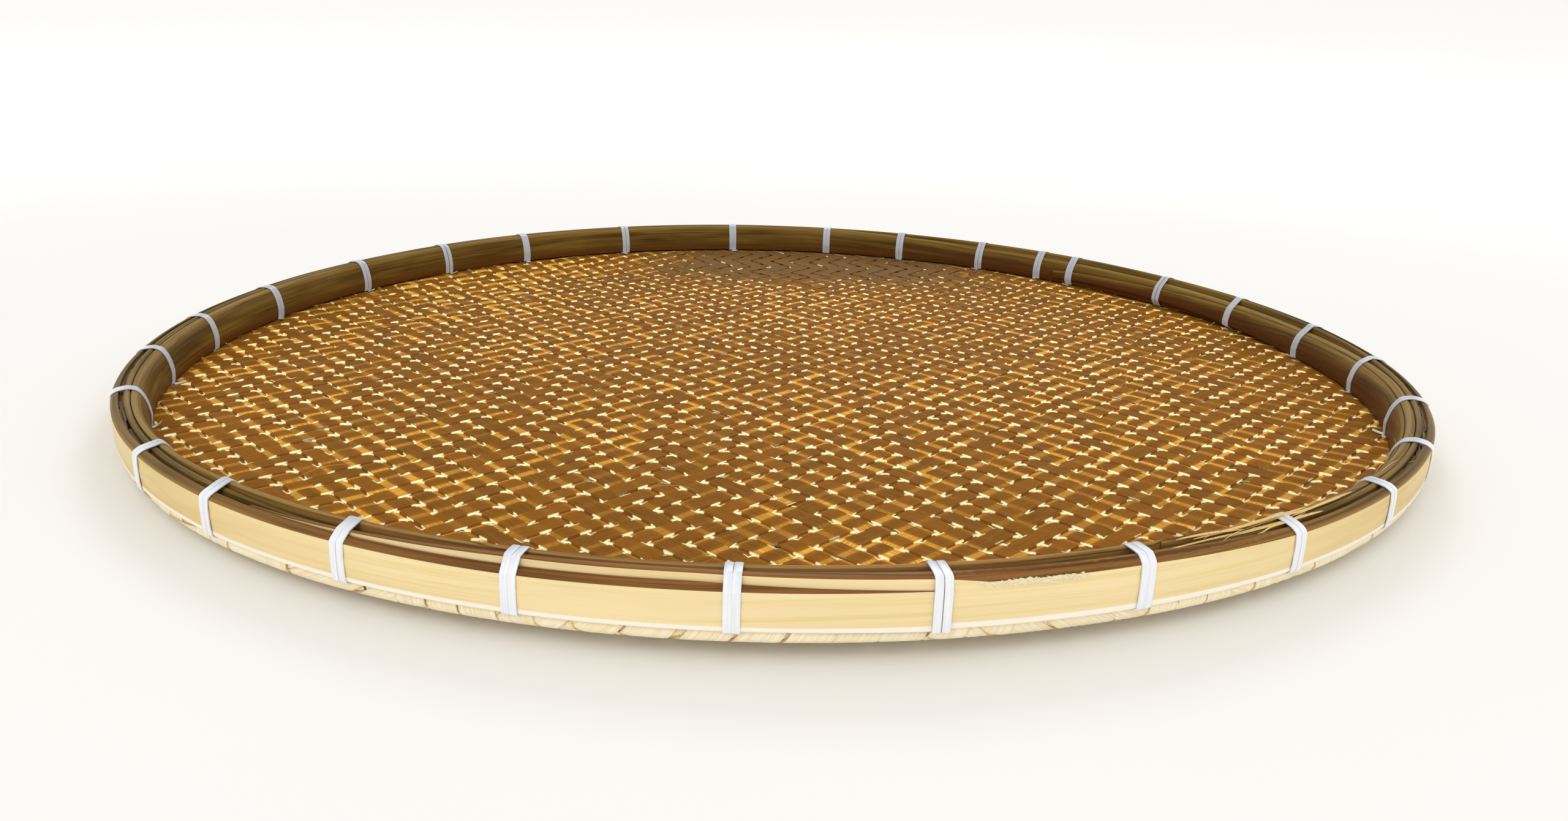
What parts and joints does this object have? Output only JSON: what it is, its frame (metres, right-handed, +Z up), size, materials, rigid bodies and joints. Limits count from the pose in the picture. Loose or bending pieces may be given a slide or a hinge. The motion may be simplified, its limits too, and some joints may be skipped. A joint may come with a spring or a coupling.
{
  "type": "zaru bamboo basket",
  "caption": "Shallow round bamboo tray: a twill-woven mat clamped between lapped split-bamboo hoops and bound at the rim with doubled flat straps.",
  "frame": {"origin": "centre of the tray, on the plane it rests on", "axes": "+Z up, out of the open side of the tray; -Y towards the front, where the outer hoop's ends lap"},
  "size_m": [0.601, 0.6009, 0.029],
  "materials": {
    "bamboo_skin": "smooth pale outer bamboo, satin",
    "bamboo_split": "split olive-brown bamboo with lengthwise grain, satin",
    "bamboo_strips": "thin planed strips, golden brown, satin",
    "white_strap": "white flat plastic strap, soft sheen"
  },
  "bodies": {
    "root": {"binding_01": "white_strap", "binding_02": "white_strap", "binding_03": "white_strap", "binding_04": "white_strap", "binding_05": "white_strap", "binding_06": "white_strap", "binding_07": "white_strap", "binding_08": "white_strap", "binding_09": "white_strap", "binding_10": "white_strap", "binding_11": "white_strap", "binding_12": "white_strap", "binding_13": "white_strap", "binding_14": "white_strap", "binding_15": "white_strap", "binding_16": "white_strap", "binding_17": "white_strap", "binding_18": "white_strap", "binding_19": "white_strap", "binding_20": "white_strap", "binding_21": "white_strap", "binding_22": "white_strap", "binding_23": "white_strap", "binding_24": "white_strap", "binding_25": "white_strap", "binding_26": "white_strap", "binding_27": "white_strap", "binding_28": "white_strap", "binding_29": "white_strap", "filler_cane": "bamboo_split", "inner_hoop": "bamboo_split", "outer_hoop": "bamboo_skin", "woven_mat": "bamboo_strips"}
  },
  "joints": []
}
